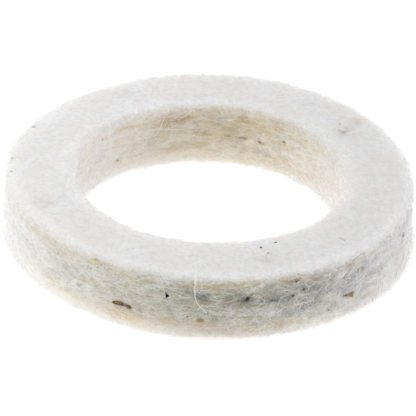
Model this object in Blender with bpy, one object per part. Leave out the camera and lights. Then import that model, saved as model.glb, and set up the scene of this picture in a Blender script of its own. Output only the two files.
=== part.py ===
"""Pressed wool felt ring with the bits of plant matter that are caught in its cut walls.

Frame: metres, +Z up. The ring lies flat, its axis is Z, and the origin is the centre of its lower face.
Angles are measured from +X towards +Y. The ring is one piece of felt. Each caught bit is a solid of its
own, which lies in a shallow pocket of the felt with its outer side level with the wall.
"""

from math import cos, pi, radians, sin

import bmesh
import bpy
from mathutils import Matrix, Vector

MM = 0.001

# the ring
OUTER_RADIUS = 30.0 * MM
BORE_RADIUS = 20.0 * MM
THICKNESS = 10.0 * MM
EDGE_RADIUS = 0.7 * MM
SEGMENTS = 96
EDGE_STEPS = 3

# the bits in its walls
POCKET_GAP = 0.3 * MM
SEED_SEGMENTS = 14
SEED_RINGS = 8
STEM_SIDES = 8
STEM_STEPS = 10

# linear colours
WOOL_WHITE = (0.76, 0.74, 0.68)
STRAW_BROWN = (0.16, 0.09, 0.035)
HUSK_BROWN = (0.33, 0.17, 0.05)
CHAFF_YELLOW = (0.62, 0.49, 0.21)
BARK_BLACK = (0.012, 0.010, 0.010)
SEED_DARK = (0.05, 0.025, 0.012)
BRAN_ORANGE = (0.40, 0.24, 0.11)
BURR_BROWN = (0.11, 0.075, 0.045)
SEED_GREY = (0.10, 0.10, 0.11)
BORE_TAN = (0.26, 0.19, 0.10)


def clear_scene():
    for thing in list(bpy.data.objects):
        bpy.data.objects.remove(thing, do_unlink=True)


def material(name, colour, roughness):
    made = bpy.data.materials.new(name)
    made.use_nodes = True
    shader = made.node_tree.nodes["Principled BSDF"]
    shader.inputs["Base Color"].default_value = (*colour, 1.0)
    shader.inputs["Roughness"].default_value = roughness
    shader.inputs["Metallic"].default_value = 0.0
    return made


def new_object(name, bm, place=None):
    """Turns a bmesh into a smooth-shaded object, with its faces out, standing at place."""
    bmesh.ops.recalc_face_normals(bm, faces=bm.faces)
    mesh = bpy.data.meshes.new(name)
    bm.to_mesh(mesh)
    bm.free()
    mesh.shade_smooth()
    mesh.set_sharp_from_angle(angle=radians(35))
    made = bpy.data.objects.new(name, mesh)
    bpy.context.scene.collection.objects.link(made)
    if place is not None:
        made.matrix_world = place
    return made


# ---- the felt ring ----


def ring_profile():
    """The cross-section, in the XZ plane: a rectangle whose four corners are rounded."""
    corners = [
        (OUTER_RADIUS - EDGE_RADIUS, EDGE_RADIUS, -90),
        (OUTER_RADIUS - EDGE_RADIUS, THICKNESS - EDGE_RADIUS, 0),
        (BORE_RADIUS + EDGE_RADIUS, THICKNESS - EDGE_RADIUS, 90),
        (BORE_RADIUS + EDGE_RADIUS, EDGE_RADIUS, 180),
    ]
    points = []
    for x, z, start in corners:
        for step in range(EDGE_STEPS + 1):
            angle = radians(start + 90 * step / EDGE_STEPS)
            points.append((x + EDGE_RADIUS * cos(angle), 0.0, z + EDGE_RADIUS * sin(angle)))
    return points


def make_ring():
    bm = bmesh.new()
    verts = [bm.verts.new(point) for point in ring_profile()]
    edges = [bm.edges.new((a, b)) for a, b in zip(verts, verts[1:] + verts[:1])]
    bmesh.ops.spin(
        bm,
        geom=verts + edges,
        cent=(0, 0, 0),
        axis=(0, 0, 1),
        angle=2 * pi,
        steps=SEGMENTS,
        use_duplicate=False,
    )
    bmesh.ops.remove_doubles(bm, verts=bm.verts, dist=0.01 * MM)
    ring = new_object("felt_ring", bm)
    ring.data.materials.append(material("wool_felt", WOOL_WHITE, 0.95))
    return ring


def cut_pocket(ring, cutter):
    cutter.hide_render = True
    cutter.display_type = "WIRE"
    cut = ring.modifiers.new(cutter.name, "BOOLEAN")
    cut.operation = "DIFFERENCE"
    cut.solver = "EXACT"
    cut.object = cutter


# ---- places on the walls ----


def wall_place(wall_radius, outward, angle_deg, height, tilt_deg=0.0):
    """A frame on a wall: x runs along the wall, y up it, and z out of the felt.

    outward is 1 on the outer wall and -1 on the bore's. A tilt turns the frame about its z.
    """
    angle = radians(angle_deg)
    out = Vector((cos(angle), sin(angle), 0)) * outward
    up = Vector((0, 0, 1))
    along = up.cross(out)
    turn = Matrix((along, up, out)).transposed().to_4x4()
    spot = Matrix.Translation((wall_radius * cos(angle), wall_radius * sin(angle), height))
    return spot @ turn @ Matrix.Rotation(radians(tilt_deg), 4, "Z")


def on_outer_wall(angle_deg, height, tilt_deg=0.0):
    return wall_place(OUTER_RADIUS * cos(pi / SEGMENTS), 1, angle_deg, height, tilt_deg)


def on_bore_wall(angle_deg, height, tilt_deg=0.0):
    return wall_place(BORE_RADIUS, -1, angle_deg, height, tilt_deg)


# ---- the kinds of bit: each is also the cutter of its own pocket, grown by the gap ----


def seed_mesh(length, width, depth, grow=0.0):
    """An ellipsoid whose outermost point is level with the wall."""
    bm = bmesh.new()
    bmesh.ops.create_uvsphere(bm, u_segments=SEED_SEGMENTS, v_segments=SEED_RINGS, radius=1.0)
    half = Vector((length / 2 + grow, width / 2 + grow, depth / 2 + grow))
    bmesh.ops.scale(bm, vec=half, verts=bm.verts)
    bmesh.ops.translate(bm, vec=(0, 0, -depth / 2), verts=bm.verts)
    return bm


def grown_outline(outline, grow):
    """The outline, which runs counter-clockwise, with each side moved outward by grow."""
    points = [Vector(point) for point in outline]
    moved = []
    for before, here, after in zip(points[-1:] + points[:-1], points, points[1:] + points[:1]):
        side_in = (here - before).normalized()
        side_out = (after - here).normalized()
        out_in = Vector((side_in.y, -side_in.x))
        out_out = Vector((side_out.y, -side_out.x))
        moved.append(here + grow * (out_in + out_out) / (1 + out_in.dot(out_out)))
    return moved


def flake_mesh(outline, depth, grow=0.0):
    """A flat flake with its face level with the wall."""
    bm = bmesh.new()
    front = [bm.verts.new((x, y, grow)) for x, y in grown_outline(outline, grow)]
    face = bm.faces.new(front)
    back = bmesh.ops.extrude_face_region(bm, geom=[face])
    back_verts = [v for v in back["geom"] if isinstance(v, bmesh.types.BMVert)]
    bmesh.ops.translate(bm, vec=(0, 0, -depth - 2 * grow), verts=back_verts)
    return bm


def stem_mesh(length, width, bend, depth, grow=0.0):
    """A bent bit of stem, lying in the wall: thickest at a third of its length, thin at both ends."""
    bm = bmesh.new()
    half = length / 2 + grow
    rings = []
    for step in range(STEM_STEPS + 1):
        along = -1 + 2 * step / STEM_STEPS
        lobe = 0.35 + 0.65 * (1 - abs(along) ** 2.5) * (1 - 0.25 * along)
        ring = []
        for side in range(STEM_SIDES):
            angle = 2 * pi * side / STEM_SIDES
            y = bend * (1 - along**2) + (width / 2 * lobe + grow) * cos(angle)
            z = -depth / 2 + (depth / 2 * lobe + grow) * sin(angle)
            ring.append(bm.verts.new((half * along, y, z)))
        rings.append(ring)
    for near, far in zip(rings, rings[1:]):
        for side in range(STEM_SIDES):
            following = (side + 1) % STEM_SIDES
            bm.faces.new((near[side], near[following], far[following], far[side]))
    bm.faces.new(rings[0])
    bm.faces.new(rings[-1])
    return bm


def embed(ring, name, place, colour, roughness, shape, *sizes):
    """Makes one bit and sinks it in a pocket of the ring."""
    bit = new_object(name, shape(*sizes), place)
    bit.data.materials.append(material(name, colour, roughness))
    cut_pocket(ring, new_object(name + "_pocket", shape(*sizes, POCKET_GAP), place))


# ---- the bits on the outer wall, from its left round the front to its right ----


def add_chaff_flake(ring):
    outline = [(-0.7, -0.2), (-0.1, -0.32), (0.6, -0.2), (0.72, 0.12), (0.1, 0.3), (-0.6, 0.2)]
    outline = [(x * MM, y * MM) for x, y in outline]
    place = on_outer_wall(-122.5, 8.7 * MM, -6)
    embed(ring, "chaff_flake", place, CHAFF_YELLOW, 0.7, flake_mesh, outline, 0.3 * MM)


def add_straw_sliver(ring):
    place = on_outer_wall(-113.4, 3.7 * MM, -4)
    sizes = (3.0 * MM, 0.6 * MM, 0.12 * MM, 0.5 * MM)
    embed(ring, "straw_sliver", place, STRAW_BROWN, 0.6, stem_mesh, *sizes)


def add_bark_chip(ring):
    outline = [(-0.16, -0.5), (0.2, -0.36), (0.3, -0.05), (-0.02, 0.18), (-0.18, 0.5), (-0.28, 0.3)]
    outline = [(x * MM, y * MM) for x, y in outline]
    place = on_outer_wall(-100.5, 6.9 * MM)
    embed(ring, "bark_chip", place, BARK_BLACK, 0.75, flake_mesh, outline, 0.35 * MM)


def add_bran_flake(ring):
    outline = [(-0.6, -0.3), (0.1, -0.45), (0.62, -0.2), (0.55, 0.3), (0.0, 0.42), (-0.55, 0.25)]
    outline = [(x * MM, y * MM) for x, y in outline]
    place = on_outer_wall(-91.3, 3.3 * MM, 5)
    embed(ring, "bran_flake", place, BRAN_ORANGE, 0.8, flake_mesh, outline, 0.3 * MM)


def add_seed_speck(ring):
    place = on_outer_wall(-79.2, 6.8 * MM, 20)
    embed(ring, "seed_speck", place, SEED_DARK, 0.5, seed_mesh, 0.75 * MM, 0.6 * MM, 0.55 * MM)


def add_burr_tip(ring):
    place = on_outer_wall(-65.6, 8.6 * MM, 8)
    embed(ring, "burr_tip", place, BURR_BROWN, 0.8, seed_mesh, 1.1 * MM, 0.55 * MM, 0.45 * MM)


def add_seed_husk(ring):
    outline = [(-0.95, -0.32), (0.85, -0.36), (0.9, -0.05), (0.72, 0.42), (0.3, 0.12), (-0.6, -0.12)]
    outline = [(x * MM, y * MM) for x, y in outline]
    place = on_outer_wall(-47.3, 3.8 * MM, 2)
    embed(ring, "seed_husk", place, HUSK_BROWN, 0.55, flake_mesh, outline, 0.35 * MM)


def add_oval_seed(ring):
    place = on_outer_wall(-18.5, 6.7 * MM, 30)
    embed(ring, "oval_seed", place, SEED_GREY, 0.55, seed_mesh, 0.95 * MM, 0.6 * MM, 0.5 * MM)


# ---- the bits on the bore's wall, at the back ----


def add_bore_chaff(ring):
    outline = [(-0.7, -0.15), (0.0, -0.3), (0.75, -0.1), (0.6, 0.22), (-0.2, 0.28)]
    outline = [(x * MM, y * MM) for x, y in outline]
    place = on_bore_wall(77.1, 4.9 * MM, -8)
    embed(ring, "bore_chaff", place, BORE_TAN, 0.75, flake_mesh, outline, 0.3 * MM)


def add_bore_seed(ring):
    place = on_bore_wall(69.4, 4.8 * MM, 10)
    embed(ring, "bore_seed", place, SEED_DARK, 0.6, seed_mesh, 0.65 * MM, 0.5 * MM, 0.45 * MM)


def main():
    clear_scene()
    ring = make_ring()
    add_chaff_flake(ring)
    add_straw_sliver(ring)
    add_bark_chip(ring)
    add_bran_flake(ring)
    add_seed_speck(ring)
    add_burr_tip(ring)
    add_seed_husk(ring)
    add_oval_seed(ring)
    add_bore_chaff(ring)
    add_bore_seed(ring)


main()
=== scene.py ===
"""Looks of a pressed wool felt ring: matted felt, the fibres that lie on it and stand off it, and the bits
of plant matter that are caught in its walls.

Lengths are in metres and +Z is up. Angles are measured round the ring's axis, from +X towards +Y. A place on
the felt is an angle and a length walked round the ring's cross-section: up the outer wall from its foot,
across the upper face, down the bore wall, and back across the lower face.
"""

from math import atan2, cos, hypot, pi, radians, sin

import bpy
import numpy as np
from mathutils import Matrix, Vector


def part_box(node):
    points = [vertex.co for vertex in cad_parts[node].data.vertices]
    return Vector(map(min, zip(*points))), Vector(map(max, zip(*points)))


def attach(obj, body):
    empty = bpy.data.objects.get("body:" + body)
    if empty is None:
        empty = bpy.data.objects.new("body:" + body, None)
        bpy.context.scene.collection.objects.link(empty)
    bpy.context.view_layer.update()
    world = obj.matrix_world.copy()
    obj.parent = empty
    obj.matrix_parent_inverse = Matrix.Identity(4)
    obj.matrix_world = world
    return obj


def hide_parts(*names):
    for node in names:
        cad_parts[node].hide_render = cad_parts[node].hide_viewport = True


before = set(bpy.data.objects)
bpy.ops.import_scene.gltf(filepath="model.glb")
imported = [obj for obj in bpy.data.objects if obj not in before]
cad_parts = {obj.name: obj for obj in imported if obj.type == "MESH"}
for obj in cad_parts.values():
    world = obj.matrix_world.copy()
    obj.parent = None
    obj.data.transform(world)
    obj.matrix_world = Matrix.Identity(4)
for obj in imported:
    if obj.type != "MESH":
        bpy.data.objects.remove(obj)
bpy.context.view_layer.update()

MM = 0.001

# the ring's sizes, from the frame
ring_low, ring_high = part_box("felt_ring")
OUTER = (ring_high.x - ring_low.x) / 2
THICK = ring_high.z - ring_low.z
BORE = min(hypot(v.co.x, v.co.y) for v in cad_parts["felt_ring"].data.vertices)

# how the real ring differs from a true one: round edges, a foot that flares, a bore that is off centre, and
# lobes, each a count, a size and an angle in degrees
EDGE = 0.9 * MM
FLARE = 0.3 * MM
BORE_SHIFT = (-0.3 * MM, 0.3 * MM)
OUTER_LOBES = [(2, 0.14 * MM, 157), (3, 0.24 * MM, 200), (4, 0.08 * MM, 320)]
BORE_LOBES = [(2, 0.12 * MM, 340), (3, 0.10 * MM, 225), (4, 0.15 * MM, 250)]

# the cross-section's straight and round stretches, and where each one starts
WALL_RUN = THICK - 2 * EDGE
FACE_RUN = OUTER - BORE - 2 * EDGE
BEND_RUN = pi / 2 * EDGE
KNOTS = np.cumsum([0, WALL_RUN, BEND_RUN, FACE_RUN, BEND_RUN, WALL_RUN, BEND_RUN, FACE_RUN, BEND_RUN])

# the felt's mesh
AROUND = 600
WALL_ROWS = 46
FACE_ROWS = 36
BACK_ROWS = 14
BEND_ROWS = 5

# browner patches of wool: angle, height in mm, length and height of the patch in mm, strength
OUTER_STAINS = [
    (-125, 7.2, 4, 0.8, 0.25),
    (-122, 9.3, 4, 1, 0.45),
    (-109, 8.7, 6, 1.2, 0.4),
    (-113, 1.8, 7, 0.9, 0.35),
    (-92, 3.1, 3.2, 1, 0.9),
    (-87, 9, 5, 0.5, 0.8),
    (-78.2, 9.3, 3.5, 0.8, 0.6),
    (-70, 2, 6, 0.8, 0.7),
    (-65.5, 9, 4, 1.4, 1),
    (-61, 9.2, 12, 0.7, 0.4),
    (-59, 8.6, 3, 0.7, 0.6),
    (-48, 3.3, 3, 0.8, 0.35),
    (-40, 8.7, 5, 1, 0.5),
]
BORE_STAINS = [
    (131, 8, 3, 1, 0.5),
    (119, 7.6, 2, 0.8, 0.5),
    (107, 8, 4.5, 1.6, 0.7),
    (95, 8.5, 2, 0.9, 0.5),
    (88, 6.5, 2.5, 0.7, 0.4),
    (77, 4.8, 2.6, 0.7, 0.8),
    (69, 4.7, 1.6, 0.6, 0.8),
    (108, 2.8, 4, 0.6, 0.7),
    (75, 8.2, 3, 1, 0.4),
    (59, 8.6, 3, 1, 0.4),
    (45, 7.9, 2.5, 0.8, 0.3),
    (135, 2.9, 1.4, 0.7, 0.5),
]

# dark soft halos in the outer wall, most of them round seeds, as rows of the same five numbers
HALOS = [
    (-78, 6.55, 2.2, 1.4, 1),
    (-65.3, 8.9, 2.4, 1.2, 0.6),
    (-95.8, 7.3, 1.6, 0.7, 0.25),
    (-71, 6.2, 2.2, 0.8, 0.45),
    (-66.5, 6.6, 2, 0.6, 0.3),
    (-62.3, 7.2, 1.4, 0.5, 0.4),
    (-42.6, 7.1, 2.4, 0.6, 0.6),
    (-48.6, 7.5, 1, 0.5, 0.3),
    (-94.8, 3.7, 0.7, 0.4, 0.4),
    (-84, 6.9, 5, 2.4, 0.15),
]

# brownish smudges on the upper face: x, y, length and width in mm, strength
SMUDGES = [
    (19.6, 14.4, 2.6, 3, 0.45),
    (21.6, 17.5, 2, 2.2, 0.35),
    (-27.3, 11.1, 2, 0.9, 0.5),
    (-29.4, 1.6, 0.8, 0.9, 0.6),
    (-29.3, -2.2, 0.7, 0.8, 0.6),
    (17.5, -9, 1.8, 2.6, 0.3),
    (22, -19.9, 1.6, 1, 0.3),
    (7.9, -23.8, 2.4, 1.6, 0.25),
    (-24, -11, 4, 4, 0.2),
    (-14, 22.5, 3, 2, 0.2),
]

FIBRE_SIDES = 3


# ---- noise ----


def scrambled(cells, seed):
    """A repeatable number from -1 to 1 for each row of whole numbers."""
    mixed = np.full(len(cells), seed * 7919 + 13, np.uint64)
    for column in range(cells.shape[1]):
        mixed ^= cells[:, column].astype(np.uint64) + np.uint64(0x9E3779B97F4A7C15)
        mixed *= np.uint64(0xBF58476D1CE4E5B9)
        mixed ^= mixed >> np.uint64(31)
        mixed *= np.uint64(0x94D049BB133111EB)
        mixed ^= mixed >> np.uint64(29)
    return (mixed >> np.uint64(11)).astype(float) / 2.0**52 - 1.0


def value_noise(points, seed, wrap=None):
    """Smooth noise from -1 to 1 at points, which are in cells. wrap is how many cells the first axis repeats
    in."""
    low = np.floor(points).astype(np.int64)
    part = points - low
    part = part**3 * (part * (part * 6 - 15) + 10)
    total = np.zeros(len(points))
    for corner in np.ndindex(2, 2, 2):
        cell = low + np.array(corner)
        if wrap:
            cell[:, 0] %= wrap
        share = np.prod(np.where(corner, part, 1 - part), axis=1)
        total += share * scrambled(cell + 100000, seed)
    return total


def ring_noise(theta, radius, z, around, across, up, seed):
    """Noise whose cells are so many mm long around the ring, across its radius and up its axis."""
    cells = max(3, round(2 * pi * OUTER / (around * MM)))
    turn = np.mod(theta, 2 * pi) / (2 * pi) * cells
    return value_noise(np.stack([turn, radius / (across * MM), z / (up * MM)], axis=1), seed, cells)


# ---- the shape of the ring ----


def section(walked):
    """Radius, height and the way out (radial, upward) of the cross-section, at a length walked round it."""
    walked = np.mod(walked, KNOTS[-1])
    far, near, high, low = OUTER - EDGE, BORE + EDGE, THICK - EDGE, EDGE
    middle = np.interp(walked, KNOTS, [far, far, far, near, near, near, near, far, far])
    level = np.interp(walked, KNOTS, [low, high, high, high, high, low, low, low, low])
    angle = np.interp(walked, KNOTS, np.radians([0, 0, 90, 90, 180, 180, 270, 270, 360]))
    return middle + EDGE * np.cos(angle), level + EDGE * np.sin(angle), np.cos(angle), np.sin(angle)


def lobes(theta, rows):
    """How far a wall stands outside a true circle."""
    return sum(size * np.cos(count * theta - radians(phase)) for count, size, phase in rows)


def warped(theta, radius, z):
    """Points of the real ring, at ring coordinates of the true one."""
    share = np.clip((radius - BORE) / (OUTER - BORE), 0, 1)
    real = radius + share * lobes(theta, OUTER_LOBES) + (1 - share) * lobes(theta, BORE_LOBES)
    real = real + share**2 * FLARE * (0.5 - z / THICK)
    x = real * np.cos(theta) + (1 - share) * BORE_SHIFT[0]
    y = real * np.sin(theta) + (1 - share) * BORE_SHIFT[1]
    return np.stack([x, y, z], axis=1)


def relief(theta, radius, z, wall):
    """How far the felt's surface stands out, in metres. wall is 0 on the pressed faces and 1 on the cut
    walls."""
    lumps = 0.08 * ring_noise(theta, radius, z, 3.6, 3.6, 3, 1)
    clumps = 0.045 * ring_noise(theta, radius, z, 1.5, 1.3, 1.1, 2)
    tufts = 0.03 * ring_noise(theta, radius, z, 0.8, 0.6, 0.55, 3)
    streaks = 0.05 * ring_noise(theta, radius, z, 3.2, 1, 0.7, 4)
    strands = 0.04 * ring_noise(theta, radius, z, 1.6, 0.5, 0.4, 5)
    pressed = 0.3 * lumps + 0.3 * clumps + 0.4 * tufts
    cut = lumps + clumps + tufts + streaks + strands
    corner = 4 * wall * (1 - wall)
    ragged = 0.11 * ring_noise(theta, radius, z, 1.1, 0.9, 0.9, 6)
    ragged += 0.1 * ring_noise(theta, radius, z, 2.6, 2, 2, 7)
    return (pressed + wall * (cut - pressed) + corner * ragged) * MM


def felt_points(theta, walked, lift=0.0):
    """Points at a height over the felt, and the way out of the felt there."""
    radius, z, out_radius, out_z = section(walked)
    stand = relief(theta, radius, z, out_radius**2) + lift
    out = np.stack([out_radius * np.cos(theta), out_radius * np.sin(theta), out_z], axis=1)
    points = warped(theta, radius, z) + out * np.reshape(stand, (-1, 1))
    points[:, 2] = np.maximum(points[:, 2], 0.02 * MM)
    return points, out


def on_outer(angle, height):
    """A place on the outer wall, from an angle in degrees and a height in mm."""
    return radians(angle), height * MM - EDGE


def on_bore(angle, height):
    return radians(angle), KNOTS[5] + EDGE - height * MM


def on_top(x, y):
    """A place on the upper face, from x and y in mm."""
    return atan2(y, x), KNOTS[2] + OUTER - EDGE - hypot(x, y) * MM


def bell(value, middle, width):
    return np.exp(-(((value - middle) / width) ** 2))


def turned(theta, angle):
    """How far theta is from an angle in degrees, in radians, the short way round."""
    return np.mod(theta - radians(angle) + pi, 2 * pi) - pi


def beside(theta, angle, width):
    """From 0 to 1, most at an angle in degrees."""
    return bell(turned(theta, angle), 0, radians(width))


def patches_of(rows, radius_here, theta, z):
    """The total of soft elliptical patches on a wall, at places on it."""
    total = np.zeros(len(theta))
    for angle, height, length, tall, strength in rows:
        spot = bell(turned(theta, angle) * radius_here, 0, length / 2 * MM)
        spot = spot * bell(z, height * MM, tall / 2 * MM)
        total += strength * spot
    return total


def warmth(theta, out_radius):
    """How far the walls lean to their warm tones, from 0 to 1: most at the front and back of both walls. On
    the bore wall this warmth is partly painted warm light bounced round the bore.
    """
    outer = beside(theta, -93, 54) + 0.7 * beside(theta, 85, 42)
    inner = beside(theta, 82, 46) + 0.7 * beside(theta, -95, 42)
    return np.where(out_radius > 0, outer, inner)


def painted_rim_and_foot_light(theta, walked):
    """How much painted light the felt gets: a painted highlight beside the edges of the upper face, and a
    painted glow of the floor's light low down on the walls. Both are from 0 to 1, and least at the right."""
    radius, z, out_radius, out_z = section(walked)
    near_edge = bell(walked, KNOTS[2] + 0.2 * MM, 1.1 * MM) + bell(walked, KNOTS[3] - 0.2 * MM, 1.1 * MM)
    near_edge *= np.clip(0.7 + ring_noise(theta, radius, z, 4, 2, 2, 51), 0, 1)
    rim = near_edge * np.clip(out_z, 0, 1) ** 2 * (1 - 0.9 * beside(theta, 5, 60))
    outer = 1 - 0.8 * beside(theta, -20, 60)
    inner = 1 - 0.8 * beside(theta, 38, 50)
    return rim, np.where(out_radius > 0, outer, inner) * bell(z / THICK, 0, 0.17)


def brownness(theta, walked):
    """How brown the wool is, from 0 to 1: high up and low down on the walls, in streaks and in spots."""
    radius, z, out_radius, _ = section(walked)
    level = z / THICK
    streaks = ring_noise(theta, radius, z, 5, 2, 0.7, 31)
    fine = ring_noise(theta, radius, z, 2, 1, 0.45, 32)
    patches = ring_noise(theta, radius, z, 9, 6, 3, 33)
    warm = warmth(theta, out_radius)
    ragged = level + 0.035 * streaks + 0.03 * patches
    outer = (0.7 * bell(ragged, 0.9, 0.08) + 0.55 * bell(ragged, 0.24, 0.1)) * (0.9 + 0.9 * patches)
    inner = 0.2 + 0.35 * bell(ragged, 0.8, 0.14) + 0.2 * patches
    wall = np.where(out_radius > 0, outer, inner) * (0.1 + 0.9 * warm) + (0.08 + 0.37 * warm) * streaks
    wall = wall + (0.05 + 0.27 * warm) * fine - 0.06
    spots = patches_of(OUTER_STAINS, OUTER, theta, z) * (out_radius > 0.3)
    spots = spots + patches_of(BORE_STAINS, BORE, theta, z) * (out_radius < -0.3)
    ragged_spots = spots * (1 + 0.5 * fine + 0.4 * streaks)
    return np.clip(wall * out_radius**2 + ragged_spots, 0, 1)


def halo_darkness(theta, walked):
    """How dark the wool is in soft halos, most of them round seeds, from 0 to 1."""
    radius, z, out_radius, _ = section(walked)
    rough = ring_noise(theta, radius, z, 0.9, 1, 0.35, 44)
    return np.clip(patches_of(HALOS, OUTER, theta, z) * (1 + 0.6 * rough), 0, 1) * (out_radius > 0.3)


def smudged(points, out_z):
    """How much the upper face is smudged, from 0 to 1."""
    total = np.zeros(len(points))
    for x, y, length, width, strength in SMUDGES:
        along_x = bell(points[:, 0], x * MM, length / 2 * MM)
        total += strength * along_x * bell(points[:, 1], y * MM, width / 2 * MM)
    radius = np.hypot(points[:, 0], points[:, 1])
    marks = ring_noise(np.arctan2(points[:, 1], points[:, 0]), radius, radius, 0.9, 0.7, 1000, 61)
    return np.clip(total * (1 + 1.2 * marks), 0, 1) * (out_z > 0.3)


def grey_and_painted_shade(theta, walked):
    """How grey the walls are, from 0 to 1: painted shade in the gaps between strands and on the right of both
    walls, and a grey patch in the middle of the front.
    """
    radius, z, out_radius, _ = section(walked)
    patches = ring_noise(theta, radius, z, 8, 6, 4, 41)
    flecks = ring_noise(theta, radius, z, 2.4, 1.5, 0.7, 42)
    # painted shade: the gaps between strands are painted darker, as the fibres cast no shadows
    gaps = ring_noise(theta, radius, z, 1.1, 0.8, 0.4, 43)
    rough = 0.3 * patches + 0.5 * flecks + 0.5 * gaps
    outer = (out_radius > 0) * 1.0
    side = beside(theta, -60, 34) + 0.6 * beside(theta, 110, 30)
    side = outer * side
    middle = outer * beside(theta, -80, 28) * bell(z / THICK, 0.7, 0.17)
    # painted shade: the right of both walls is painted darker
    outer_right = 0.35 * beside(theta, -20, 44)
    right = np.where(out_radius > 0, outer_right, 0.3 * beside(theta, 45, 45))
    warm = warmth(theta, out_radius)
    total = 0.5 * middle + 0.24 * side + right + (0.14 + 0.26 * warm + 0.7 * side) * rough
    return np.clip(total * out_radius**2, 0, 1)


def new_object(name, data):
    made = bpy.data.objects.new(name, data)
    bpy.context.scene.collection.objects.link(made)
    return made


def mesh_object(name, verts, faces, materials):
    mesh = bpy.data.meshes.new(name)
    mesh.from_pydata(verts, [], faces)
    mesh.polygons.foreach_set("use_smooth", [True] * len(mesh.polygons))
    for item in materials:
        mesh.materials.append(item)
    return new_object(name, mesh)


def add_attribute(piece, name, values):
    made = piece.data.attributes.new(name, "FLOAT", "POINT")
    made.data.foreach_set("value", values.astype(np.float32))


def felt_body(material):
    counts = [WALL_ROWS, BEND_ROWS, FACE_ROWS, BEND_ROWS, WALL_ROWS, BEND_ROWS, BACK_ROWS, BEND_ROWS]
    steps = [np.linspace(a, b, n, endpoint=False) for a, b, n in zip(KNOTS, KNOTS[1:], counts)]
    row = np.concatenate(steps)
    rows = len(row)
    theta = np.repeat(np.arange(AROUND) * 2 * pi / AROUND, rows)
    walked = np.tile(row, AROUND)
    verts, out = felt_points(theta, walked)
    index = np.arange(AROUND * rows).reshape(AROUND, rows)
    ahead = np.roll(index, -1, axis=0)
    quads = np.stack([index, ahead, np.roll(ahead, -1, axis=1), np.roll(index, -1, axis=1)], axis=-1)
    made = mesh_object("felt_body", verts, quads.reshape(-1, 4).tolist(), [material])
    add_attribute(made, "wall", 1 - out[:, 2] ** 2)
    add_attribute(made, "brownness", brownness(theta, walked))
    # painted shade with some grey: darker gaps between strands, a darker right of both walls, and a grey
    # patch at the front
    add_attribute(made, "grey", grey_and_painted_shade(theta, walked))
    add_attribute(made, "halo_dark", halo_darkness(theta, walked))
    add_attribute(made, "smudge", smudged(verts, out[:, 2]))
    out_radius = out[:, 0] * np.cos(theta) + out[:, 1] * np.sin(theta)
    add_attribute(made, "inner", np.clip(-out_radius, 0, 1))
    add_attribute(made, "warm", warmth(theta, out_radius))
    # painted light: rim is a painted highlight along the upper edges, foot a painted glow of the floor's
    # light low on the walls
    rim, low = painted_rim_and_foot_light(theta, walked)
    add_attribute(made, "foot", 0.9 * low**0.5)
    add_attribute(made, "rim", 0.3 * rim)
    return made


# ---- fibres ----


def tube_object(name, paths, normals, radii, kinds, materials):
    """Thin closed tubes. paths is (tubes, points, 3), and kinds gives each tube's material."""
    tubes, points, _ = paths.shape
    along = np.gradient(paths, axis=1)
    along /= np.maximum(np.linalg.norm(along, axis=2, keepdims=True), 1e-12)
    side = np.cross(along, normals[:, None, :])
    side /= np.maximum(np.linalg.norm(side, axis=2, keepdims=True), 1e-12)
    up = np.cross(side, along)
    taper = np.clip(np.sin(np.linspace(0.12, pi - 0.12, points)) * 1.6, 0.25, 1.0)
    thick = radii[:, None] * taper[None, :]
    verts = np.empty((tubes, points, FIBRE_SIDES, 3))
    for corner in range(FIBRE_SIDES):
        angle = 2 * pi * corner / FIBRE_SIDES
        verts[:, :, corner] = paths + thick[..., None] * (cos(angle) * side + sin(angle) * up)
    index = np.arange(tubes * points * FIBRE_SIDES).reshape(tubes, points, FIBRE_SIDES)
    near, far = index[:, :-1], index[:, 1:]
    quads = np.stack([near, far, np.roll(far, -1, axis=2), np.roll(near, -1, axis=2)], axis=-1)
    quads = quads.reshape(-1, 4).tolist()
    caps = index[:, 0].tolist() + index[:, -1, ::-1].tolist()
    made = mesh_object(name, verts.reshape(-1, 3), quads + caps, materials)
    per_quad = np.repeat(kinds, (points - 1) * FIBRE_SIDES)
    made.data.polygons.foreach_set("material_index", np.concatenate([per_quad, kinds, kinds]))
    return made


def crimped(rng, count, points, length, heading, crimp, wave):
    """Wavy lines in a plane, as (along, across) offsets from their middles: (count, points) each."""
    step = length[:, None] / (points - 1)
    travelled = np.linspace(0, 1, points)[None, :] * length[:, None]
    waves = rng.uniform(0.7, 1.4, (count, 1)) * wave
    phase = rng.uniform(0, 2 * pi, (count, 1))
    drift = rng.normal(0, 0.5, (count, 1)) * travelled / length[:, None]
    angle = heading[:, None] + drift + crimp[:, None] * np.sin(2 * pi * travelled / waves + phase)
    along = np.cumsum(np.cos(angle) * step, axis=1)
    across = np.cumsum(np.sin(angle) * step, axis=1)
    return [line - line.mean(axis=1, keepdims=True) for line in (along, across)]


def wool_kinds(rng, theta, walked, greys):
    """Which wool each fibre is: 0 white, 1 cream, 2 tan, 3 grey, 4 dark, 5 bright, 6 warm and bright. Each
    kind is commonest where the felt has its colour, so grey fibres also carry the painted shade, bright ones
    the painted highlight along the upper edges and warm bright ones the painted glow low on the walls. greys
    is the share of grey fibres everywhere."""
    brown = 1.3 * (brownness(theta, walked) - 0.2)
    gaps = grey_and_painted_shade(theta, walked)
    halo_dark = halo_darkness(theta, walked)
    draw = rng.random(len(theta))
    kinds = np.where(draw < 0.6, 0, 1)
    kinds = np.where(draw > 1 - greys - 0.7 * gaps, 3, kinds)
    kinds = np.where(rng.random(len(theta)) < np.maximum(brown, 0.01), 2, kinds)
    kinds = np.where(rng.random(len(theta)) < halo_dark, 4, kinds)
    # painted light: bright fibres along the upper edges are painted highlight, warm bright ones low on the
    # walls are painted glow of the floor's light
    rim, low = painted_rim_and_foot_light(theta, walked)
    low = 0.85 * low * (0.2 + 0.8 * warmth(theta, section(walked)[2]))
    kinds = np.where(rng.random(len(theta)) < 0.35 * rim, 5, kinds)
    return np.where(rng.random(len(theta)) < low, 6, kinds)


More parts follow.
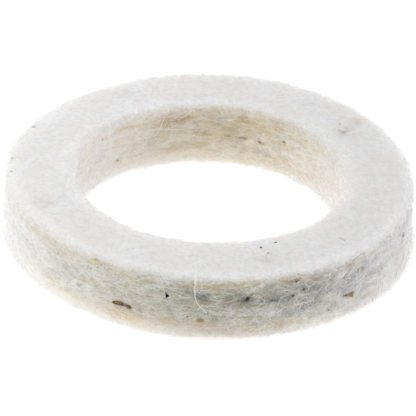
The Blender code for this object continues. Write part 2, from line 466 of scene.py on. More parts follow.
def lying_fibres(name, seed, count, span, order, lengths, radii, lift, greys, materials, curl=1, where=None):
    """Crimped fibres on the felt, fewer where it is grey, painted shade included, and where it is dark round
    the seeds. span is the stretch of the cross-section, order is how well they are combed round the ring,
    from 0 to 1, and where is the angle and the spread, in degrees, of a patch of them, or None for all round."""
    rng = np.random.default_rng(seed)
    points = 6 if curl < 1.5 else 10
    length = rng.uniform(*lengths, count)
    heading = rng.normal(0, 0.34, count) + pi * rng.integers(0, 2, count)
    loose = rng.random(count) > order
    heading[loose] = rng.uniform(0, 2 * pi, loose.sum())
    crimp = rng.uniform(0.25, 1.0, count) * curl
    along, across = crimped(rng, count, points, length, heading, crimp, 2.2 * MM)
    start = rng.normal(*np.radians(where), count) if where else rng.uniform(0, 2 * pi, count)
    foot = rng.uniform(*span, count)
    radius = section(foot)[0]
    theta = start[:, None] + along / radius[:, None]
    walked = foot[:, None] + across
    rise = rng.gamma(1.5, lift, count)[:, None] * np.sin(pi * np.linspace(0, 1, points))[None, :]
    off = rise - 0.012 * MM + rng.normal(0, 0.006 * MM, (count, points))
    paths, out = felt_points(theta.ravel(), walked.ravel(), off.ravel())
    normals = out.reshape(count, points, 3)[:, points // 2]
    kinds = wool_kinds(rng, start, foot, greys)
    size = radii[0] + (radii[1] - radii[0]) * rng.random(count) ** 2
    kept = rng.random(count) > 0.65 * grey_and_painted_shade(start, foot) + 0.6 * halo_darkness(start, foot)
    paths = paths.reshape(count, points, 3)
    return tube_object(name, paths[kept], normals[kept], size[kept], kinds[kept], materials)


def standing_fuzz(name, seed, count, span, length, thickness, materials, reach):
    """Short fine fibres that stand off the felt. A reach over 1 makes them stand straighter."""
    rng = np.random.default_rng(seed)
    points = 4
    theta = rng.uniform(0, 2 * pi, count)
    walked = rng.uniform(*span, count)
    foot, out = felt_points(theta, walked, -0.03 * MM)
    lean = rng.normal(0, 1, (count, 3))
    lean -= out * np.sum(lean * out, axis=1, keepdims=True)
    lean /= np.linalg.norm(lean, axis=1, keepdims=True)
    size = np.minimum(0.2 * MM + rng.gamma(2.0, length, count), 1.1 * MM)
    share = np.linspace(0, 1, points)[None, :, None]
    rise = rng.uniform(0.2, 0.8, count)[:, None, None] * reach
    bend = rng.uniform(0.4, 1.6, count)[:, None, None]
    path = out[:, None, :] * rise * np.sin(share * pi * 0.62) + lean[:, None, :] * share**bend
    curl = np.cross(out, lean)[:, None, :] * np.sin(share * rng.uniform(1, 4, (count, 1, 1))) * 0.35
    paths = foot[:, None, :] + size[:, None, None] * (path + curl)
    paths[:, :, 2] = np.maximum(paths[:, :, 2], 0.03 * MM)
    radii = rng.uniform(*thickness, count)
    kinds = wool_kinds(rng, theta, walked, 0.04)
    return tube_object(name, paths, out, radii, kinds, materials)


def crossing_fibres(name, seed, places, each, materials):
    """Fibres that arch over the caught bits and hold them."""
    rng = np.random.default_rng(seed)
    count = each * len(places)
    points = 7
    length = rng.uniform(1.2 * MM, 2.8 * MM, count)
    heading = rng.normal(0, 0.6, count) + pi * rng.integers(0, 2, count)
    along, across = crimped(rng, count, points, length, heading, rng.uniform(0.2, 0.6, count), 2 * MM)
    spots = np.repeat(np.array(places), each, axis=0)
    foot = spots[:, 1] + rng.normal(0, 0.35 * MM, count)
    start = spots[:, 0] + rng.normal(0, 0.45 * MM, count) / section(foot)[0]
    theta = start[:, None] + along / section(foot)[0][:, None]
    walked = foot[:, None] + across
    arch = np.sin(pi * np.linspace(0, 1, points))[None, :]
    lift = rng.uniform(0.12 * MM, 0.42 * MM, count)[:, None] * arch - 0.01 * MM
    paths, out = felt_points(theta.ravel(), walked.ravel(), lift.ravel())
    normals = out.reshape(count, points, 3)[:, points // 2]
    kinds = wool_kinds(rng, start, foot, 0.05)
    radii = rng.uniform(0.01 * MM, 0.026 * MM, count)
    return tube_object(name, paths.reshape(count, points, 3), normals, radii, kinds, materials)


def smooth_path(knots, count):
    """Points along a Catmull-Rom curve through knots, which are rows of numbers."""
    knots = np.array(knots, float)
    ends = np.concatenate([2 * knots[:1] - knots[1:2], knots, 2 * knots[-1:] - knots[-2:-1]])
    at = np.linspace(0, len(knots) - 1, count)
    low = np.minimum(at.astype(int), len(knots) - 2)
    t = (at - low)[:, None]
    a, b, c, d = ends[low], ends[low + 1], ends[low + 2], ends[low + 3]
    return 0.5 * (2 * b + (c - a) * t + (2 * a - 5 * b + 4 * c - d) * t**2 + (3 * b - a - 3 * c + d) * t**3)


def stray_fibres(name, rows, materials):
    """Long single fibres. Each row is a radius and a height over the felt in mm, a material, and places."""
    points = 24
    paths = []
    normals = []
    for number, (_, lift, _, places) in enumerate(rows):
        path = smooth_path(places, points)
        wave = np.sin(np.linspace(0, 9, points) + number) * 0.05 * MM
        arch = np.sin(pi * np.linspace(0.0, 1, points)) ** 0.5 * lift * MM
        spot, out = felt_points(path[:, 0], path[:, 1] + wave, arch)
        paths.append(spot)
        normals.append(out[points // 2])
    radii = np.array([row[0] for row in rows]) * MM
    kinds = np.array([row[2] for row in rows])
    return tube_object(name, np.array(paths), np.array(normals), radii, kinds, materials)


# ---- caught bits: each shape is (points in mm, faces), with x along the bit and z out of the felt ----


def softened(outline, rounds):
    """A closed outline with its corners cut, a quarter of each side at a time."""
    points = np.array(outline, float)
    for _ in range(rounds):
        ahead = np.roll(points, -1, axis=0)
        cuts = [0.75 * points + 0.25 * ahead, 0.25 * points + 0.75 * ahead]
        points = np.stack(cuts, axis=1).reshape(-1, 2)
    return points


def flake(outline, thick, cup, seed):
    """A thin curved flake with a thin ragged rim and a wrinkled face."""
    rng = np.random.default_rng(seed)
    rim = softened(outline, 2)
    middle = rim.mean(axis=0)
    sides = len(rim)
    rim = middle + (rim - middle) * rng.uniform(0.9, 1.06, (sides, 1))
    verts = []
    shares = (0.0, 0.3, 0.55, 0.78, 0.93)
    for way in (1, -1):
        for share in shares:
            ring = middle + (rim - middle) * share if share else middle[None, :]
            dome = cup * (1 - share**2) + way * 0.5 * thick * (1 - share**3)
            rough = rng.normal(0, 0.12 * thick, len(ring))
            verts += [(x, y, dome + r) for (x, y), r in zip(ring, rough)]
    verts += [(x, y, 0.0) for x, y in rim]
    block = 1 + (len(shares) - 1) * sides
    edge = list(range(2 * block, 2 * block + sides))
    faces = []
    for first, flip in ((0, False), (block, True)):
        starts = range(first + 1, first + block, sides)
        rings = [list(range(start, start + sides)) for start in starts] + [edge]
        for k in range(sides):
            ahead = (k + 1) % sides
            fan = (first, rings[0][k], rings[0][ahead])
            faces.append(fan[::-1] if flip else fan)
            for inside, outside in zip(rings, rings[1:]):
                quad = (inside[k], outside[k], outside[ahead], inside[ahead])
                faces.append(quad[::-1] if flip else quad)
    return verts, faces


def stem(length, wide, tall, girth, ribs, seed, bend=0.0):
    """A solid lofted along x: a seed or a bit of stem. girth gives its share of the full width, from one end
    at -1 to the other at 1."""
    rng = np.random.default_rng(seed)
    stations, sides = 23, 18
    verts = [(-length / 2, bend, 0.0)]
    for step in range(stations):
        u = -0.985 + 1.97 * step / (stations - 1)
        share = girth(u)
        for side in range(sides):
            angle = 2 * pi * side / sides
            rough = 1 + 0.07 * cos(ribs * angle) + rng.normal(0, 0.025)
            y = wide / 2 * share * rough * cos(angle) + bend * u * u
            verts.append((length / 2 * u, y, tall / 2 * share * rough * sin(angle)))
    verts.append((length / 2, bend, 0.0))
    faces = []
    last = len(verts) - 1
    for side in range(sides):
        ahead = (side + 1) % sides
        faces.append((0, 1 + ahead, 1 + side))
        for step in range(stations - 1):
            near, far = 1 + step * sides, 1 + (step + 1) * sides
            faces.append((near + side, near + ahead, far + ahead, far + side))
        faces.append((last, last - sides + side, last - sides + ahead))
    return verts, faces


def oval(u):
    """The girth of a seed."""
    return max(1 - abs(u) ** 2.3, 0.0) ** 0.5


def straw_girth(u):
    """A long swelling and a short one with a narrow waist between them, and torn ends."""
    swelling = max(bell(u, -0.35, 0.5), 0.75 * bell(u, 0.72, 0.24))
    return (0.6 + 0.4 * swelling) * min(1.0, 6 * (1.0 - abs(u))) ** 0.5


def burr(length, seed):
    """A small seed with short hooked spines."""
    rng = np.random.default_rng(seed)
    verts, faces = stem(length, 0.75 * length, 0.7 * length, oval, 7, seed)
    for _ in range(16):
        way = Vector(rng.normal(0, 1, 3)).normalized()
        side = way.orthogonal().normalized() * 0.035
        other = way.cross(side)
        root, tip = way * 0.3 * length, way * rng.uniform(0.62, 0.85) * length + side
        first = len(verts)
        verts += [tuple(root + side), tuple(root + other), tuple(root - side - other), tuple(tip)]
        faces += [(first, first + 1, first + 3), (first + 1, first + 2, first + 3)]
        faces += [(first + 2, first, first + 3), (first, first + 2, first + 1)]
    return verts, faces


def bedded(shape, place, tilt, lift):
    """A shape's points in metres and its faces, laid on the felt at a place, turned by tilt degrees and
    raised by lift mm."""
    theta, walked = place
    spot, out = felt_points(np.array([theta]), np.array([walked]), lift * MM)
    out = Vector(out[0])
    right = Vector((0, 0, 1)).cross(out) if abs(out.z) < 0.9 else Vector((1, 0, 0))
    right.normalize()
    up = out.cross(right)
    turn = Matrix.Rotation(radians(tilt), 3, "Z")
    axes = Matrix((right, up, out)).transposed() @ turn
    return [Vector(spot[0]) + axes @ Vector(v) * MM for v in shape[0]], shape[1]


def node_place(node):
    """Where a caught bit's solid lies in the frame."""
    low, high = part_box(node)
    middle = (low + high) / 2
    angle, height = np.degrees(atan2(middle.y, middle.x)), middle.z / MM
    inner = hypot(middle.x, middle.y) < (OUTER + BORE) / 2
    return on_bore(angle, height) if inner else on_outer(angle, height)


def bit_materials():
    """The plant matter's materials by name: three colours, the streaks' size in mm, and roughness."""
    rows = {
        "straw": ((0.07, 0.035, 0.01), (0.22, 0.13, 0.04), (0.5, 0.36, 0.14), 0.5, 0.75),
        "husk": ((0.22, 0.09, 0.025), (0.4, 0.26, 0.09), (0.45, 0.38, 0.18), 0.5, 0.5),
        "chaff": ((0.66, 0.53, 0.22), (0.79, 0.68, 0.33), (0.86, 0.78, 0.48), 0.6, 0.6),
        "bran": ((0.36, 0.24, 0.1), (0.5, 0.36, 0.17), (0.64, 0.5, 0.28), 0.6, 0.6),
        "bore_chaff": ((0.28, 0.21, 0.1), (0.42, 0.34, 0.2), (0.55, 0.46, 0.31), 0.4, 0.7),
        "dark_seed": ((0.012, 0.006, 0.002), (0.05, 0.028, 0.012), (0.14, 0.09, 0.045), 0.3, 0.5),
        "burr": ((0.05, 0.032, 0.016), (0.13, 0.09, 0.05), (0.26, 0.19, 0.12), 0.3, 0.6),
        "bark": ((0.001, 0.001, 0.001), (0.003, 0.003, 0.003), (0.02, 0.018, 0.016), 0.3, 0.9),
        "grey_seed": ((0.16, 0.16, 0.17), (0.3, 0.3, 0.31), (0.46, 0.45, 0.45), 0.35, 0.5),
    }
    return {name: bit_material(name, *row) for name, row in rows.items()}


def bit_shapes():
    """The shape of each caught bit, by its node. The outlines of the flakes are in mm."""
    oblong = [(-0.7, -0.15), (-0.3, -0.36), (0.25, -0.38), (0.74, -0.1), (0.55, 0.28), (0.05, 0.4),
              (-0.5, 0.26)]
    petal = [(-0.8, -0.02), (-0.4, -0.32), (0.3, -0.34), (0.85, -0.02), (0.4, 0.3), (-0.3, 0.34)]
    wedge = [(-1.08, 0.24), (-1, 0.08), (0, -0.37), (0.8, -0.72), (0.88, -0.62), (1.08, 0.1),
             (1.04, 0.2), (0.14, 0.17), (-0.7, 0.34)]
    splinter = [(-0.3, 0.5), (-0.22, 0.5), (0, 0.22), (0.3, 0), (0.3, -0.1), (0.08, -0.36),
                (-0.1, -0.46), (-0.22, -0.43), (-0.2, 0)]
    sliver = [(-0.82, 0), (-0.4, -0.22), (0.3, -0.17), (0.8, 0.06), (0.35, 0.24), (-0.3, 0.2)]
    return {
        "straw_sliver": stem(3.1, 0.64, 0.42, straw_girth, 9, 1, -0.2),
        "seed_husk": flake(wedge, 0.16, 0.14, 2),
        "bran_flake": flake(oblong, 0.16, 0.14, 3),
        "chaff_flake": flake(petal, 0.1, 0.1, 4),
        "bark_chip": flake(splinter, 0.34, 0.06, 5),
        "seed_speck": stem(0.64, 0.52, 0.5, oval, 5, 6),
        "burr_tip": burr(0.42, 7),
        "oval_seed": stem(0.85, 0.5, 0.4, oval, 4, 8),
        "bore_chaff": flake(sliver, 0.12, 0.05, 9),
        "bore_seed": stem(0.55, 0.34, 0.3, oval, 5, 10),
    }


def add_bits(stuff):
    """Puts a detailed piece in the place of each caught bit's solid. Returns the places of those that fibres
    cross, which aren't the chip and the straw."""
    # node, tilt in degrees, lift out of the wall and shift along it and up it in mm, material, slot
    rows = [
        ("straw_sliver", -3, 0.1, 0, -0.1, "straw", "straw"),
        ("seed_husk", 0, 0.16, 0, 0.05, "husk", "husk"),
        ("bran_flake", 12, 0.14, 0, 0, "bran", "husk"),
        ("chaff_flake", 6, 0.08, 0, 0.4, "chaff", "chaff"),
        ("bark_chip", 0, 0.3, 0, 0, "bark", "bark"),
        ("seed_speck", 10, 0.14, 0.3, 0, "dark_seed", "dark_seed"),
        ("burr_tip", 20, 0.04, 0.45, 0.15, "burr", "dark_seed"),
        ("oval_seed", 70, 0.02, 0, 0, "grey_seed", "dark_seed"),
        ("bore_chaff", -6, 0, 0, 0, "bore_chaff", "straw"),
        ("bore_seed", -20, 0.02, 0.3, 0, "straw", "dark_seed"),
    ]
    bare = ("bark_chip", "straw_sliver")
    shapes = bit_shapes()
    places = []
    for node, tilt, lift, along, rise, material, slot in rows:
        theta, walked = node_place(node)
        inner = walked > KNOTS[3]
        way, radius_here = (-1, BORE) if inner else (1, OUTER)
        place = (theta + way * along * MM / radius_here, walked + way * rise * MM)
        verts, faces = bedded(shapes[node], place, tilt, lift)
        piece = mesh_object(node + "_detail", verts, faces, [stuff[material]])
        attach(piece, "root")
        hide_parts(node)
        if node not in bare:
            places.append(place)
    return places


def add_specks(stuff):
    """Dust and seed crumbs too small to be parts."""
    # by surface: the two numbers of the place, length in mm, tilt in degrees, and 0 dark, 1 brown or 2 grey
    rows = {
        on_outer: [
            (-65.6, 6.46, 0.42, 10, 0),
            (-62.5, 7.08, 0.4, 40, 0),
            (-71.6, 6.23, 0.5, 5, 2),
            (-54.1, 2.55, 0.36, 20, 0),
            (-36.5, 0.45, 0.32, 60, 0),
            (-94.6, 3.7, 0.4, 0, 1),
            (-48.4, 7.4, 0.3, 8, 1),
            (-156, 0.5, 0.5, 10, 1),
            (-132, 3.6, 0.3, 0, 2),
        ],
        on_bore: [
            (57, 6.04, 0.4, 0, 0),
            (134.4, 2.89, 0.42, 20, 1),
            (144, 7.81, 0.3, 0, 0),
            (44.7, 8, 0.3, 0, 1),
            (82.5, 4.9, 0.36, 10, 1),
        ],
        on_top: [
            (7.85, -20.8, 0.4, 0, 0),
            (9.95, -19.2, 0.4, 15, 0),
            (8.85, -22.2, 0.34, 70, 2),
            (-29.5, 1.6, 0.42, 60, 0),
            (-29.4, -2.2, 0.38, 40, 0),
            (-27, 11.1, 0.7, 35, 2),
            (19.8, 13.9, 0.3, 30, 1),
            (19, 16.4, 0.26, 0, 2),
        ],
    }
    specks = [(place(*row[:2]), *row[2:]) for place, spots in rows.items() for row in spots]
    verts = []
    faces = []
    kinds = []
    for number, (place, length, tilt, kind) in enumerate(specks):
        shape = stem(length, 0.55 * length, 0.45 * length, oval, 3, 60 + number)
        points, made = bedded(shape, place, tilt, 0.04)
        faces += [[index + len(verts) for index in face] for face in made]
        verts += points
        kinds += [kind] * len(made)
    materials = [stuff["dark_seed"], stuff["husk"], stuff["grey_seed"]]
    piece = mesh_object("dust_specks", verts, faces, materials)
    piece.data.polygons.foreach_set("material_index", kinds)
    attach(piece, "root")


# ---- materials ----


def set_inputs(node, values):
    for name, value in values.items():
        node.inputs[name].default_value = value


def new_material(name, colour, roughness, sheen=0.0):
    made = bpy.data.materials.new(name)
    made.use_nodes = True
    shader = made.node_tree.nodes["Principled BSDF"]
    set_inputs(shader, {"Base Color": (*colour, 1.0), "Roughness": roughness, "Specular IOR Level": 0.25})
    set_inputs(shader, {"Sheen Weight": sheen, "Sheen Roughness": 0.6})
    return made, shader


def let_light_in(shader, share, depth):
    """Makes wool of a material: light gets into it, red light deepest, to a depth in metres."""
    set_inputs(shader, {"Subsurface Weight": share, "Subsurface Scale": depth})
    set_inputs(shader, {"Subsurface Radius": (1.0, 0.85, 0.65)})


def fibre_material(name, colour):
    """Wool or hair whose colour varies along each fibre, and which lets light through."""
    made, shader = new_material(name, colour, 0.75, 0.15)
    let_light_in(shader, 1.0, 0.3 * MM)
    tree = made.node_tree
    place = tree.nodes.new("ShaderNodeTexCoord").outputs["Object"]
    shade = spread(tree, noise_node(tree, place, 0.8, 3), 0.3, 0.7)
    dull = tuple(0.9 * part for part in colour)
    light = tuple(min(1.08 * part, 0.98) for part in colour)
    tree.links.new(blended(tree, shade, dull, light), shader.inputs["Base Color"])
    return made


def noise_node(tree, vector, cell, detail=3.0, stretch=(1, 1, 1)):
    """Noise with cells of about that size in mm. A stretch over 1 makes them shorter along that axis."""
    mapping = tree.nodes.new("ShaderNodeMapping")
    set_inputs(mapping, {"Scale": stretch})
    tree.links.new(vector, mapping.inputs["Vector"])
    noise = tree.nodes.new("ShaderNodeTexNoise")
    set_inputs(noise, {"Scale": 1 / (cell * MM), "Detail": detail, "Roughness": 0.6})
    tree.links.new(mapping.outputs["Vector"], noise.inputs["Vector"])
    return noise.outputs["Fac"]


def spread(tree, value, low, high):
    """Maps low..high of a value to 0..1, clamped."""
    node = tree.nodes.new("ShaderNodeMapRange")
    set_inputs(node, {"From Min": low, "From Max": high})
    tree.links.new(value, node.inputs["Value"])
    return node.outputs["Result"]


def blended(tree, factor, a, b):
    """A colour between a and b, each a socket or a constant."""
    node = tree.nodes.new("ShaderNodeMix")
    node.data_type = "RGBA"
    tree.links.new(factor, node.inputs[0])
    for socket, colour in ((node.inputs[6], a), (node.inputs[7], b)):
        if isinstance(colour, tuple):
            socket.default_value = (*colour, 1.0)
        else:
            tree.links.new(colour, socket)
    return node.outputs[2]


def maths(tree, operation, a, b):
    node = tree.nodes.new("ShaderNodeMath")
    node.operation = operation
    for socket, value in ((node.inputs[0], a), (node.inputs[1], b)):
        if isinstance(value, (int, float)):
            socket.default_value = value
        else:
            tree.links.new(value, socket)
    return node.outputs["Value"]


def attribute_node(tree, name):
    node = tree.nodes.new("ShaderNodeAttribute")
    node.attribute_name = name
    return node.outputs["Fac"]


def wool_tone(tree, inner, warm, outer_cool, outer_warm, inner_cool, inner_warm):
    """One tone of the walls' wool, on the cool and the warm parts of the outer wall and of the bore wall."""
    outer = blended(tree, warm, outer_cool, outer_warm)
    return blended(tree, inner, outer, blended(tree, warm, inner_cool, inner_warm))


def face_colour(tree, place):
    """The pressed faces: nearly white, with cream patches, grey specks and brownish smudges."""
    patches = spread(tree, noise_node(tree, place, 6, 3), 0.35, 0.7)
    specks = spread(tree, noise_node(tree, place, 0.7, 4), 0.42, 0.72)
    face = blended(tree, patches, (0.875, 0.875, 0.88), (0.83, 0.81, 0.775))
    face = blended(tree, specks, face, (0.75, 0.74, 0.715))
    return blended(tree, attribute_node(tree, "smudge"), face, (0.46, 0.39, 0.32))


def wall_colour(tree, place):
    """The cut walls: streaks of three tones, with grey and painted shade in the gaps and on the right, brown
    bands and spots, dark halos, and a painted glow of floor light at the foot.
    """
    inner = attribute_node(tree, "inner")
    warm = attribute_node(tree, "warm")
    streaks = spread(tree, noise_node(tree, place, 3, 4, (1, 1, 3.2)), 0.36, 0.66)
    strands = spread(tree, noise_node(tree, place, 1.1, 4, (1, 1, 3.5)), 0.45, 0.68)
    threads = spread(tree, noise_node(tree, place, 0.4, 3, (1, 1, 2.5)), 0.45, 0.65)
    # each row is a tone on the outer wall, cool and warm, then on the bore wall; the bore's tones are
    # lighter, which is painted light bounced round the bore
    tones = [
        ((0.82, 0.81, 0.82), (0.8, 0.77, 0.68), (0.87, 0.84, 0.82), (0.9, 0.84, 0.71)),
        ((0.7, 0.68, 0.68), (0.6, 0.55, 0.42), (0.8, 0.75, 0.7), (0.84, 0.75, 0.57)),
        ((0.54, 0.51, 0.5), (0.3, 0.28, 0.17), (0.67, 0.61, 0.54), (0.62, 0.52, 0.32)),
    ]
    pale, middle, dark = [wool_tone(tree, inner, warm, *tone) for tone in tones]
    # painted shade: the colour of the shaded gaps between strands, also used for the darker right of the
    # walls and the grey patch at the front
    gap_shade = blended(tree, warm, (0.33, 0.32, 0.36), (0.26, 0.26, 0.2))
    # painted glow: a pale warm colour low on the walls stands for the floor's light shining up through the
    # foot
    lit_foot = blended(tree, warm, (0.95, 0.93, 0.9), (0.97, 0.88, 0.74))
    cut = blended(tree, streaks, pale, middle)
    cut = blended(tree, strands, cut, dark)
    cut = blended(tree, maths(tree, "MULTIPLY", threads, 0.5), cut, dark)
    cut = blended(tree, attribute_node(tree, "grey"), cut, gap_shade)
    cut = blended(tree, attribute_node(tree, "brownness"), cut, (0.52, 0.41, 0.21))
    cut = blended(tree, attribute_node(tree, "halo_dark"), cut, (0.07, 0.065, 0.045))
    return blended(tree, attribute_node(tree, "foot"), cut, lit_foot)


def add_bump(tree, shader, height, strength, distance):
    bump = tree.nodes.new("ShaderNodeBump")
    set_inputs(bump, {"Strength": strength, "Distance": distance})
    tree.links.new(height, bump.inputs["Height"])
    tree.links.new(bump.outputs["Normal"], shader.inputs["Normal"])


def felt_material():
    made, shader = new_material("wool_felt", (0.8, 0.79, 0.75), 0.95, 0.3)
    tree = made.node_tree
    place = tree.nodes.new("ShaderNodeTexCoord").outputs["Object"]
    wall = attribute_node(tree, "wall")
    colour = blended(tree, wall, face_colour(tree, place), wall_colour(tree, place))
    # painted highlight: the upper face's edges are painted near white
    colour = blended(tree, attribute_node(tree, "rim"), colour, (0.96, 0.96, 0.96))
    tree.links.new(colour, shader.inputs["Base Color"])
    fine = noise_node(tree, place, 0.16, 3, (1, 1, 1.4))
    hairs = noise_node(tree, place, 0.5, 5, (1, 1, 2.5))
    add_bump(tree, shader, maths(tree, "ADD", fine, hairs), 0.6, 0.08 * MM)
    let_light_in(shader, 0.75, 2.5 * MM)
    return made


def bit_material(name, dark, middle, light, cell, roughness):
    """Plant matter: streaks from dark to light along the bit, fine grain and a rough face. cell is the size
    of the streaks in mm."""
    made, shader = new_material(name, middle, roughness)
    tree = made.node_tree
    place = tree.nodes.new("ShaderNodeTexCoord").outputs["Object"]
    broad = spread(tree, noise_node(tree, place, cell, 3, (0.7, 0.7, 2.2)), 0.32, 0.68)
    grain = spread(tree, noise_node(tree, place, 0.2 * cell, 3, (0.8, 0.8, 2)), 0.4, 0.7)
    colour = blended(tree, broad, dark, blended(tree, grain, middle, light))
    tree.links.new(colour, shader.inputs["Base Color"])
    add_bump(tree, shader, grain, 0.5, 0.05 * MM)
    return made


# ---- stage, lights and camera ----


def add_floor():
    """A round white floor that gives light of its own, which shines up through the felt's foot."""
    count = 64
    angles = [2 * pi * step / count for step in range(count)]
    verts = [(3 * cos(a), 3 * sin(a), -0.05 * MM) for a in angles]
    glow, shader = new_material("pale_floor", (0.1, 0.1, 0.1), 1)
    set_inputs(shader, {"Specular IOR Level": 0, "Emission Color": (1, 1, 1, 1), "Emission Strength": 1})
    floor = mesh_object("pale_floor", verts, [tuple(range(count))], [glow])


def add_softbox(name, angle, rise, distance, size, strength, colour):
    """A square lamp at an angle round the ring and a rise over the floor, both in degrees. strength is the
    brightness that it gives a white card at the ring that faces it."""
    data = bpy.data.lights.new(name, "AREA")
    data.shape = "SQUARE"
    data.size = size
    data.energy = strength * pi**2 * distance**2
    data.color = colour
    lamp = new_object(name, data)
    around, up = radians(angle), radians(rise)
    lamp.location = distance * Vector((cos(around) * cos(up), sin(around) * cos(up), sin(up)))
    lamp.rotation_euler = (-lamp.location).to_track_quat("-Z", "Y").to_euler()


def add_lights():
    world = bpy.data.worlds.new("studio")
    world.use_nodes = True
    back = world.node_tree.nodes["Background"]
    set_inputs(back, {"Color": (0.97, 0.98, 1.0, 1), "Strength": 0.08})
    bpy.context.scene.world = world
    add_softbox("left_softbox", 180, 30, 0.28, 0.2, 0.63, (1, 1, 1))
    add_softbox("right_softbox", 8, 17, 0.7, 0.35, 0.61, (0.95, 0.95, 1))
    add_softbox("front_softbox", -100, 25, 0.6, 0.3, 0.19, (1, 1, 1))
    add_softbox("top_softbox", 205, 74, 0.5, 0.25, 0.21, (1, 1, 1))
    add_softbox("back_softbox", 95, 25, 0.5, 0.3, 0.3, (1, 1, 1))


def add_camera():
    distance = 24 * OUTER
    elevation = radians(30.6)
    roll = radians(2.8)
    middle = Vector((0, 0, THICK / 2))
    data = bpy.data.cameras.new("camera")
    data.sensor_width = 36
    data.lens = 421.5
    data.clip_start = 0.01
    data.clip_end = 20
    data.shift_x = -0.0055
    data.shift_y = -0.0133
    camera = new_object("camera", data)
    place = middle + distance * Vector((0, -cos(elevation), sin(elevation)))
    look = Matrix.Rotation(pi / 2 - elevation, 4, "X") @ Matrix.Rotation(roll, 4, "Z")
    camera.matrix_world = Matrix.Translation(place) @ look
    bpy.context.scene.camera = camera


def add_lying_fibres(wools):
    """The fibres that lie on the felt. Those along the edges are of pale wools only."""
    outer = (KNOTS[0] - 0.3 * MM, KNOTS[2])
    bore = (KNOTS[3] + 0.3 * MM, KNOTS[5] + 0.3 * MM)
    top = (KNOTS[2] - 0.5 * MM, KNOTS[3] + 0.5 * MM)
    under = (KNOTS[6], KNOTS[7])
    outer_edge = (KNOTS[1] + 0.1 * MM, KNOTS[2] + 0.7 * MM)
    bore_edge = (KNOTS[3] - 0.5 * MM, KNOTS[4] + 0.9 * MM)
    finest = (0.006 * MM, 0.016 * MM)
    fine = (0.008 * MM, 0.03 * MM)
    wisp = (0.012 * MM, 0.035 * MM)
    strand = (0.018 * MM, 0.045 * MM)
    short = (0.7 * MM, 2.6 * MM)
    long = (1.0 * MM, 4.0 * MM)
    loops = (1.5 * MM, 3.5 * MM)
    white, cream, _, _, _, bright, glow = wools
    pale = [white, cream, white, cream, white, bright, glow]
    front_right = (-52, 16)
    # name, seed, count, stretch, order, lengths, radii, lift, share of grey, wools, curl, patch
    rows = [
        ("outer_wall_fibres_1", 11, 6000, outer, 0.7, long, fine, 0.05 * MM, 0.12, wools),
        ("outer_wall_fibres_2", 12, 6000, outer, 0.7, long, fine, 0.05 * MM, 0.12, wools),
        ("outer_wall_strands", 14, 4000, outer, 0.8, long, strand, 0.07 * MM, 0, wools),
        ("outer_wall_curls", 15, 1600, outer, 0.3, loops, strand, 0.09 * MM, 0, wools, 2.2, front_right),
        ("bore_wall_fibres", 21, 6000, bore, 0.88, long, fine, 0.05 * MM, 0.04, wools),
        ("bore_wall_strands", 22, 2000, bore, 0.9, long, strand, 0.06 * MM, 0, wools),
        ("top_face_fibres", 31, 6000, top, 0, short, finest, 0.02 * MM, 0.05, wools),
        ("outer_edge_wisps", 32, 2500, outer_edge, 0.3, short, wisp, 0.08 * MM, 0, pale),
        ("bore_edge_wisps", 33, 2000, bore_edge, 0.3, short, wisp, 0.08 * MM, 0, pale),
        ("under_face_fibres", 41, 2500, under, 0, short, finest, 0.01 * MM, 0.05, wools),
    ]
    return [lying_fibres(*row) for row in rows]


def add_fuzz(wools):
    """The fuzz that stands off the walls, and the denser fuzz along the edges and round the feet."""
    thinnest = (0.006 * MM, 0.012 * MM)
    thin = (0.008 * MM, 0.015 * MM)
    soft = (0.01 * MM, 0.02 * MM)
    walls = (KNOTS[0], KNOTS[5])
    # name, seed, count, stretch, length, radii, wools, reach
    rows = [("wall_fuzz", 51, 7000, walls, 0.15 * MM, thin, wools, 1)]
    # name, count, start and end of the stretch, reach
    rims = [
        ("outer_edge_fuzz_1", 9000, KNOTS[1] + 0.1 * MM, KNOTS[2] + 0.3 * MM, 1),
        ("outer_edge_fuzz_2", 9000, KNOTS[1] + 0.3 * MM, KNOTS[2] + 1.2 * MM, 1.3),
        ("bore_edge_fuzz", 9000, KNOTS[3] - 0.8 * MM, KNOTS[4] + 0.1 * MM, 1),
        ("outer_foot_fuzz_1", 9000, -0.8 * EDGE, 0.6 * EDGE, 1),
        ("outer_foot_fuzz_2", 9000, -0.9 * EDGE, 0.4 * EDGE, 1.7),
        ("bore_foot_fuzz_1", 5000, KNOTS[5] - 0.6 * EDGE, KNOTS[5] + 0.8 * EDGE, 1),
        ("bore_foot_fuzz_2", 6000, KNOTS[5] - 0.4 * EDGE, KNOTS[5] + 0.9 * EDGE, 1.7),
    ]
    for number, (name, count, start, end, reach) in enumerate(rims):
        radii = thinnest if reach > 1 else soft
        rows.append((name, 52 + number, count, (start, end), 0.2 * MM, radii, wools, reach))
    return [standing_fuzz(*row) for row in rows]


def route(place, *spots):
    """Places on one surface, from pairs of numbers."""
    return [place(*spot) for spot in spots]


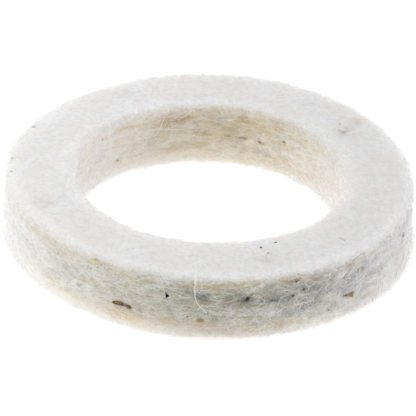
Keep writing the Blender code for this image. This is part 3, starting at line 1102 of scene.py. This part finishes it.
def add_strays(wools):
    """Single fibres that the eye picks out: 0 bright, 1 pink, 2 dark, 3 red and 4 tan."""
    pink = fibre_material("pink_hair", (0.62, 0.44, 0.42))
    dark = fibre_material("dark_hair", (0.16, 0.15, 0.16))
    red = fibre_material("red_fibre", (0.45, 0.14, 0.11))
    over_edge = route(on_top, (-1.8, -23.1), (-1.6, -26.9))
    down = route(on_outer, (-93, 9.8), (-93, 8.3), (-92.6, 6.8), (-91.4, 5.7), (-89.7, 4.6), (-89.6, 3.4))
    loop = route(on_top, (4.1, -23.6), (4.3, -21.8), (5.2, -21.3), (6.3, -21.4), (6.8, -22.4), (6.2, -23.4))
    zigzag = route(on_top, (6.9, -22.5), (7.7, -24.3), (8.6, -22.7), (8.5, -24.7), (9.5, -24.4))
    rows = [
        (0.075, 0.3, 0, over_edge + down),
        (0.035, 0.2, 0, route(on_outer, (-91.7, 9.7), (-91.1, 8.6), (-92.1, 7.4))),
        (0.035, 0.2, 0, route(on_outer, (-88.1, 8), (-87.7, 7.4), (-86.9, 7))),
        (0.06, 0.5, 0, route(on_bore, (117.8, 6.8), (110.8, 6.6), (106.2, 6.4), (102.6, 6))),
        (0.05, 0.45, 0, route(on_bore, (111.1, 9.3), (112.7, 7.9), (115.3, 6), (116.7, 5.3))),
        (0.05, 0.4, 0, route(on_bore, (108.2, 7.9), (108, 6.1), (109.2, 4.6), (110.4, 3.6))),
        (0.045, 0.4, 0, route(on_bore, (99, 9.4), (102.4, 8.4), (105.1, 8.3))),
        (0.04, 0.1, 1, loop),
        (0.042, 0.14, 4, zigzag),
        (0.05, 0.1, 2, route(on_top, (18.8, -16.6), (19.4, -17.3), (19.8, -17.8))),
        (0.02, 0.1, 2, route(on_top, (20.3, -21.3), (20.7, -19.6), (21.4, -19.2), (22.1, -20.3))),
        (0.045, 0.12, 3, route(on_outer, (-59.8, 8.45), (-58, 8.44), (-56.1, 8.42))),
    ]
    return stray_fibres("stray_fibres", rows, [wools[5], pink, dark, red, wools[2]])


def wool_materials():
    """The wools, in the order of wool_kinds."""
    rows = [
        ("wool_white", (0.86, 0.86, 0.85)),
        ("wool_cream", (0.78, 0.75, 0.69)),
        ("wool_tan", (0.57, 0.49, 0.36)),
        ("wool_grey", (0.46, 0.45, 0.41)),
        ("wool_dark_olive", (0.24, 0.22, 0.16)),
        # the last two are lighter copies of the white and cream wools: the bright one paints highlight on
        # fibres along the upper edges, the warm one paints the floor's glow on fibres low on the walls
        ("wool_bright", (0.97, 0.97, 0.97)),
        ("wool_painted_foot_glow", (0.97, 0.91, 0.79)),
    ]
    return [fibre_material(name, colour) for name, colour in rows]


def main():
    bpy.context.scene.view_settings.view_transform = "Standard"
    wools = wool_materials()
    stuff = bit_materials()
    body = felt_body(felt_material())
    places = add_bits(stuff)
    add_specks(stuff)
    fibres = add_lying_fibres(wools) + add_fuzz(wools)
    fibres.append(crossing_fibres("crossing_fibres", 61, places, 11, wools))
    fibres.append(add_strays(wools))
    for piece in [body] + fibres:
        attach(piece, "root")
    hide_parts("felt_ring")
    # a shadow under each fibre would make the soft fuzz look hard and grey
    for piece in fibres:
        piece.visible_shadow = False
        piece.visible_diffuse = False
    add_floor()
    add_lights()
    add_camera()


main()
